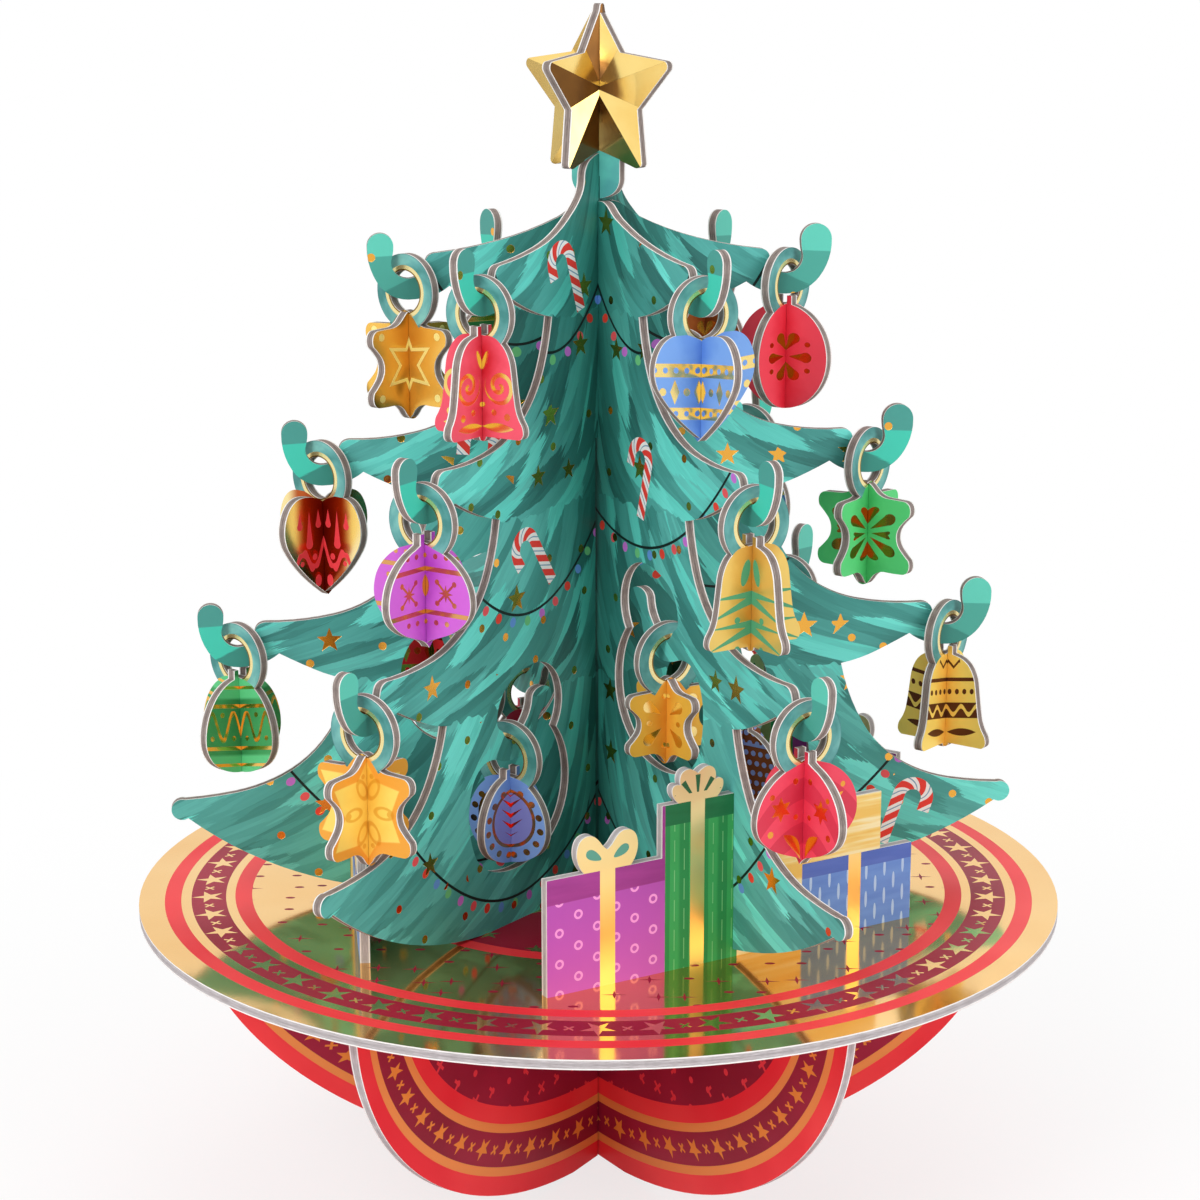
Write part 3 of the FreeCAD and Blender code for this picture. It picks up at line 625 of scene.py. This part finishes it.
def starry(ink, u, v, ground, code):
    """A foil star on each side, dots round it and two curved drops at the foot."""
    a = abs(u)
    hoop = abs((v + a * a * 0.035).wrap(13.0)).fade(3.2, 3.5)
    ground = ink.mix(hoop * 0.55, ground, colour("c2233f"))
    stars = star_reach(a - 9.4, v - 1.4, 6, 0.5) < 3.7
    dots = (length(a - 4.4, v - 8.9) < 0.9) | (length(a - 12.4, v - 5.4) < 0.85)
    dots = dots | (length(a - 4.2, v + 1.6) < 0.8) | (length(a - 12.9, v + 5.4) < 1.0)
    along = (a - 4.4) * 0.58 + (v + 9.6) * 0.81
    across = abs((v + 9.6) * 0.58 - (a - 4.4) * 0.81 + along * along * 0.05)
    drops = across < (1 - along * along / 25.0) * (1.4 + along * 0.14)
    return stamp(ink, ground, stars | dots | drops, code)


def swells(ink, u, v, ground, code):
    """Bands shaded from dark to light, foil lines, and a round zigzag with dots."""
    a = abs(u)
    v = v - a * 0.2
    shade = (abs(v + 1.0) - 6.6).math("PINGPONG", 5.8) / 5.8
    edge = abs(v + 1.0) > 6.6
    ground = ink.mix(edge * shade.fade(0.3, 0.5), ground, colour("5ecb86"))
    lines = (abs(v - 5.6) < 0.6) | (abs(v + 7.7) < 0.6)
    lines = lines | (abs(v - 11.4) < 0.5) | (abs(v + 13.0) < 0.5)
    wave = (a * (2 * math.pi / 8.6)).math("COSINE")
    steep = (a * (2 * math.pi / 8.6)).math("SINE")
    zigzag = abs(v + 0.9 + wave * 4.2) < 0.6 + abs(steep) * 1.0
    dots = length((a - 8.6).wrap(20.0), v - 2.8) < 0.8
    dots = dots | (length((a - 4.3).wrap(8.6), v + 4.6) < 0.8)
    return stamp(ink, ground, lines | zigzag | dots, code)


def petals(ink, u, v, ground, code):
    """A broad border that follows the star, and embossed petals and dots in the panel."""
    a = abs(u)
    rim = star_reach(u, v, 6, 0.64)
    paint = ink.mix((rim + u * 0.1).fade(15.0, 15.8), ground, colour(code))
    reach = length(u, v)
    fold = (u.math("ARCTAN2", v) + 0.52).wrap(math.pi / 3)
    petal = length(reach * fold.math("SINE") / 1.9, (reach * fold.math("COSINE") - 7.0) / 3.6)
    line = 1 - abs(petal - 0.8).fade(0.1, 0.28)
    spots = (length(a - 3.0, abs(v) - 9.6) < 0.7) | (length(a - 8.8, v) < 0.8)
    paint = ink.mix((line | spots) * 0.5, paint, colour("dc962a"))
    return paint, (line | spots) * 0.2 + 0.3


def star_in_star(ink, u, v, ground, code):
    """Foil all over, with dark olive patches of painted reflection, the outline of a smaller star
    and dots in its points.
    """
    reach = star_reach(u, v, 6, 0.5)
    # dark olive patches over the foil: a painted reflection
    painted_reflection = ink.noise(ink.spot(u * 0.07, v * 0.05, 4.0), 1.0, 1.0)
    ground = ink.mix(painted_reflection.fade(0.52, 0.62), ground, colour("7a5f22"))
    outline = (reach < 11.0) & (reach > 8.7)
    dots = (length(abs(u) - 12.3, abs(v) - 8.7) < 1.1) | (length(u, v - 12.8) < 0.9)
    return ink.mix(outline | dots, ground, colour(code)), 0.7 - (outline | dots) * 0.3


def tears(ink, u, v, ground, code):
    """Foil all over, with printed drops, a wavy line under them and dots."""
    a = abs(u)
    ground = ink.mix(a.fade(9.0, 14.5), ground, colour("ffe9a8"))
    drops = (abs(a - 7.4) < (11.0 - v) * 0.13) & (v > 0.8) | (length(a - 7.4, v - 0.7) < 1.4)
    for far, low in ((3.6, 6.6), (11.3, 6.8)):
        tip = (abs(a - far) < (11.0 - v) * 0.24) & (v > low)
        drops = drops | tip | (length(a - far, v - (low - 0.1)) < 1.15)
    phase = a * (2 * math.pi / 10.6)
    bow = phase.math("COSINE") - (phase * 3.0).math("COSINE") * 0.1
    line = abs(v - bow * 3.5 + a * 0.42 + 0.9) < 0.75 + abs(phase.math("SINE")) * 1.0
    dots = (length(a - 5.3, v + 3.4) < 1.0) | (length(a - 10.6, v + 4.9) < 0.8)
    dots = dots | (length(a - 4.0, (v + 11.0) * 0.7) < 1.3)
    marks = drops | line | dots
    return ink.mix(marks, ground, colour(code)), 1 - marks


def leaves(ink, u, v, ground, code):
    """A fan of leaves at the top and two rows of pointed leaves that spread from the fold."""
    a = abs(u)
    fan = length((a - 3.6 - (7.4 - v) * 0.22) * 0.8, (v - 7.4) * 0.3) < 1.1
    marks = fan
    for level in (0.3, -8.0):
        taper = 1.5 - a * 0.09
        low = abs(v - level + a * 0.36) < taper
        high = abs(v - level - 0.9 + a * 0.02) < taper * 0.75
        seeds = length(a - 6.2, v - level + 6.0) < 0.95
        marks = marks | low | high | seeds
    return ink.mix(marks, ground, colour(code)), (1 - marks) * 0.55


def hoops(ink, u, v, ground, code):
    """Satin gold: a small zigzag, a line, a row of dots, a wave on a dark band and lenses."""
    a = abs(u)
    v = v - a * 0.16
    dark = (abs(v + 3.6) < 2.5) | (abs(v - 6.3) < 0.6)
    wave = abs(v + 3.6 - (a * 1.15).math("SINE") * 1.3) < 0.75
    zigzag = abs(v - 10.2 - a.math("PINGPONG", 1.9) * 1.1) < 0.5
    dots = length(a.wrap(2.6), (v - 2.4) * 0.8) < 0.7
    lens = abs(v + 10.6) < (1 - (a - 7.2) * (a - 7.2) / 26.0) * 1.2
    marks = (dark * (1 - wave)) | zigzag * (a < 6.0) | dots | lens
    return ink.mix(marks, ground, colour(code)), 0.24


def beads(ink, u, v, ground, code):
    """A dotted oval, a thin oval line inside it, and a sprig on a darker ground in the middle."""
    u = u * 0.74
    v = v * 0.82
    a = abs(u)
    oval = length(u / 8.0, (v - 0.3) / 7.6)
    angle = (u / 9.9).math("ARCTAN2", (v + 0.8) / 9.0)
    reach = length(u / 9.9, (v + 0.8) / 9.0) * 9.6
    step = angle.wrap(math.pi / 7.5)
    dots = length(reach * step.math("SINE"), reach * step.math("COSINE") - 9.6) < 0.95
    line = abs(oval - 1.0) < 0.06
    ground = ink.mix(oval < 1.0, ground, colour("858cd6"))
    stem = (a < 0.5) & (abs(v) < 5.8)
    twigs = abs((v - a * 0.8).wrap(2.9)) < 0.8 - a * 0.17
    sprig = stem | twigs & (abs(v - a * 0.8) < 5.6)
    paint = ink.mix(dots | line, ground, colour("c98f55"))
    return ink.mix(sprig, paint, colour(code)), dots | line | sprig


def drops(ink, u, v, ground, code):
    """Foil drops that point to the middle of a star, dots between them and an oval."""
    a = abs(u) * 0.85
    b = abs(v) * 0.9
    along = a * 0.82 + b * 0.57
    across = abs(b * 0.82 - a * 0.57)
    tear = (across < (along - 3.6) * 0.34) & (along < 9.0) | (length(across, along - 8.8) < 1.75)
    dots = (length(a - 7.0, v) < 0.9) | (length(a - 2.2, b - 7.4) < 0.8)
    oval = length(u / 1.3, v / 2.7) < 1.0
    return stamp(ink, ground, tear | dots | oval, code)


def spots(ink, u, v, ground, code):
    """Rows of printed dots between two lines."""
    aside = (v / 3.4).math("ROUND").math("PINGPONG", 1.0) * 1.4
    rows = length((u + aside).wrap(2.9), v.wrap(3.4)) < 0.95
    marks = rows | (abs(v - 9.6) < 0.5) | (abs(v + 9.6) < 0.5)
    return ink.mix(marks, ground, colour(code)), 0.0


# figure, ground colours at the fold and outside, the fold one darker as painted shade, and colour
# of the figure
ORNAMENTS = {
    "left_low_egg": (swells, "2a8048", "3f9f5c", GOLD),
    "left_middle_heart": (tears, "842a14", "bc5c2c", "ec3f48"),
    "left_top_star": (star_in_star, "e0a23c", "fac65c", "fff09a"),
    "left_window_ball": (bands, "4c1238", "6a1c4c", "c2a048"),
    "front_left_low_star": (petals, "f6bd42", "ffe170", "f5ab40"),
    "front_left_middle_bauble": (crosses, "aa38b8", "d468da", "e0a468"),
    "front_left_top_bell": (scrolls, "c60418", "f4586e", "f6d27a"),
    "front_left_window_egg": (beads, "6088d0", "82aaee", "f0562c"),
    "front_right_low_bauble": (starry, "dc2644", "ee4a62", "f0a24a"),
    "front_right_middle_bell": (leaves, "cc9434", "f0cc70", "55a478"),
    "front_right_top_heart": (bands, "4f80d4", "7aa8ea", "f8dc8c"),
    "front_right_window_star": (drops, "e8932a", "f8bd44", "f8d98c"),
    "right_low_bell": (hoops, "f2b444", "ffe070", "5c3016"),
    "right_middle_star": (burst, "37ac57", "5cd880", "bc7a30"),
    "right_top_ball": (rosette, "de1a32", "f4485a", "c07c2e"),
    "right_window_egg": (spots, "6a3212", "8a4a20", "93a8e8"),
    "back_right_low_heart": (starry, "dc2644", "ee4a62", "f0a24a"),
    "back_right_middle_ball": (bands, "4a78cc", "6c9ae2", "f8dc8c"),
    "back_right_top_egg": (rosette, "8a3c16", "b8642a", "f0c070"),
    "back_right_window_bauble": (crosses, "1c4a34", "2a6446", GOLD),
    "back_left_low_ball": (bands, "98141a", "bc1e26", "a08a3c"),
    "back_left_middle_heart": (tears, "8e4219", "c27c34", "ec3f48"),
    "back_left_top_bauble": (crosses, "1c5c30", "2f7c44", GOLD),
    "back_left_window_bell": (scrolls, "e01a3c", "f2567a", GOLD),
}


def top_edge(kind, u, foot):
    """Height of the outline of the body's top, over which a ringed piece is teal."""
    out = abs(u)
    high = BODY_TOP - foot
    if kind == "ball":
        return (foot + high / 2) + (high * high / 4 - out * out).math("SQRT")
    if kind == "egg":
        rise = (1.0 - (out / 15.3) ** 2.4) | 0.0
        return foot + 0.42 * high + rise.math("SQRT") * (0.58 * high)
    if kind == "heart":
        return ((out / 6.5) & 1.0) ** 0.5 * (0.13 * high) + (foot + 0.89 * high)
    if kind == "bell":
        return BODY_TOP - (out / 9.7) ** 4.0 * 4.2
    if kind == "bauble":
        return BODY_TOP - out * 0.335
    return BODY_TOP - (out * 0.6 | (out * 1.25 - 2.2) & 4.9)


def ornament_print(name, role, turn, centre, ring_level, foot):
    """The figure on every face of an ornament and, on a ringed piece, the ring."""
    figure, under, over, code = ORNAMENTS[name]
    ink = Ink(name + "_" + role + "_print", turn, centre, ring_level)
    u, v = ink.u, ink.v
    middle = (BODY_TOP + foot) / 2
    share = HANG / (RING_OUT - foot)
    brush = ink.noise(ink.spot(u * 0.1, v * 0.1, turn), 1.0, 3.0)
    # the ground darkens towards the fold: painted shade where the two pieces cross
    ground = ink.ramp(abs(u) / 26.0 + brush * 0.55, (0.24, under), (0.64, over))
    paint, foil = figure(ink, u * share, (v - middle) * share, ground, code)
    if role == "ring":
        reach = length(u, v)
        ringed = (v > top_edge(name.split("_")[-1], u, foot)) & (reach < RING_OUT + 0.5)
        sweep = u.math("ARCTAN2", v) * 0.9
        hue = ink.noise(ink.spot(sweep, reach * 0.16, turn), 1.0, 3.0)
        teal = ink.ramp(hue, (0.32, "438884"), (0.5, "66aaa7"), (0.68, "86c8be"))
        teal = ink.mix(reach.fade(10.9, 11.2) * 0.5, teal, colour("2f5c66"))
        line = (reach > HOLE_R) & (reach < GOLD_LINE)
        ring = ink.mix(line, teal, colour("f6e3a4"))
        ring = ink.mix(reach < HOLE_R, ring, colour("8a6a2c"))
        paint = ink.mix(ringed, paint, ring)
        foil = foil * (1 - ringed) + ringed * (reach < GOLD_LINE) * 0.8
    relief = foil * -0.03 if isinstance(foil, Number) else 0.0
    return ink.finish(paint, foil, relief + brush * 0.02, 0.16)


for name in ORNAMENTS:
    vane = name.rsplit("_", 2)[0]
    low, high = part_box(name + "_ring")
    centre = (500 * (low[0] + high[0]), 500 * (low[1] + high[1]))
    ring_level = 1000 * high[2] - RING_OUT
    foot = 1000 * low[2] - ring_level
    for role, extra in (("ring", 0), ("cross", 90)):
        turn = RING_TURNS[vane] + extra
        dress(name + "_" + role, ornament_print(name, role, turn, centre, ring_level, foot))


# --- Star -------------------------------------------------------------------------------
# Two crossing boards laminated with gold foil, stamped in ten facets that meet in the middle.
# The second has a plain teal stem that slots over the spire.

STAR_MIDDLE = 246.6     # over the plate


def star_print(name, turn, bright):
    """Facets light and dark in turn, a painted reflection of the embossed facets. The dark ones
    fade to gold outwards, by the share bright.
    """
    ink = Ink(name, turn, level=PLATE_TOP + STAR_MIDDLE)
    u, v = ink.u, ink.v
    angle = abs(u.math("ARCTAN2", v))
    even = 1 - (angle / (math.pi / 5) - 0.5).math("ROUND").math("PINGPONG", 1.0)
    cloud = ink.noise(ink.spot(u * 0.08, v * 0.08, turn), 1.0, 3.0)
    # the dark facets are painted reflection, lighter outwards by the share bright
    dark = even * (1 - length(u, v).fade(4.0, 15.0) * bright)
    facet_reflection = ink.ramp(cloud * 0.4 + dark * 0.5, (0.15, "ffdf8a"), (0.38, "f6c766"),
                     (0.55, "8a5c26"), (0.8, "5c3a18"))
    stem = (v + abs(u) * 0.32 < -17.7) & (abs(u) < 9.0)
    teal = ink.ramp(cloud, (0.35, "4fa3a2"), (0.6, "63c9bb"))
    foil = (1 - stem) * (1 - dark * 0.32)
    slope = star_reach(u, v) * -0.22
    return ink.finish(ink.mix(stem, facet_reflection, teal), foil, slope * foil, 0.16)


dress("star_plain", star_print("star_plain_print", SPIRE_TURN, 0.1))
dress("star_stemmed", star_print("star_stemmed_print", SPIRE_TURN + 90, 0.9))


# --- Floor, light and camera ------------------------------------------------------------
# A plain pale floor under even studio light: a white sky and three large lamps. The camera
# looks at the front, a little from above. Places are in metres.

FLOOR = 12.0
GAP = 0.0004            # under the base boards, so that no two faces share a plane
SKY_LIGHT = 0.66        # strength at which the sky lights the object; it shows as white
LIT_POINT = Vector((0, 0, 0.2))
TILT = 13.4             # how far down the camera looks, in degrees

bpy.ops.mesh.primitive_plane_add(size=FLOOR, location=(0, 0, -GAP))
floor = bpy.context.object
floor.name = "floor"
pale = Ink("pale_floor")
away = length(pale.u, pale.w)
seen = pale.node("LightPath", {}, {})
plain = pale.node("Emission", {}, {"Color": (1, 1, 1, 1), "Strength": 1.0})
pale.join("Base Color", (0.95, 0.95, 0.95, 1))
pale.join("Roughness", 0.85 + pale.noise(pale.place, 0.05) * 0.1)
seen = seen | seen.other("Is Glossy Ray") | seen.other("Is Transmission Ray")
lit = pale.node("MixShader", {}, {0: seen * (away.fade(100.0, 500.0) * 0.25 + 0.75),
                                  1: Number(pale, pale.shader.outputs[0]), 2: plain})
pale.tree.links.new(lit.socket, pale.tree.nodes["Material Output"].inputs["Surface"])
floor.data.materials.append(pale.material)

world = bpy.data.worlds.new("studio")
bpy.context.scene.world = world
world.use_nodes = True
sky = Nodes(world.node_tree)
background = sky.tree.nodes["Background"]
background.inputs["Color"].default_value = (1, 1, 1, 1)
shown = sky.node("LightPath", {}, {})
shown = shown | shown.other("Is Glossy Ray") | shown.other("Is Transmission Ray")
strength = shown * (1 - SKY_LIGHT) + SKY_LIGHT
sky.tree.links.new(strength.socket, background.inputs["Strength"])


def lamp(name, place, size, power):
    """A square lamp that points at the middle of the object."""
    data = bpy.data.lights.new(name, "AREA")
    data.size = size
    data.energy = power
    made = bpy.data.objects.new(name, data)
    bpy.context.collection.objects.link(made)
    made.location = place
    made.rotation_euler = (LIT_POINT - Vector(place)).to_track_quat("-Z", "Y").to_euler()


lamp("key", (-0.9, -1.3, 1.3), 0.9, 14.0)
lamp("fill", (1.3, -0.9, 0.8), 1.0, 6.5)
lamp("back", (0.2, 1.3, 1.2), 0.9, 6.0)

eye = bpy.data.cameras.new("camera")
camera = bpy.data.objects.new("camera", eye)
bpy.context.collection.objects.link(camera)
camera.location = (0.0005, -0.81, 0.3768)
camera.rotation_euler = (math.radians(90 - TILT), 0, 0)
eye.sensor_width = 36.0
eye.lens = 80.9
eye.clip_start = 0.05
bpy.context.scene.camera = camera
bpy.context.scene.view_settings.view_transform = "Standard"
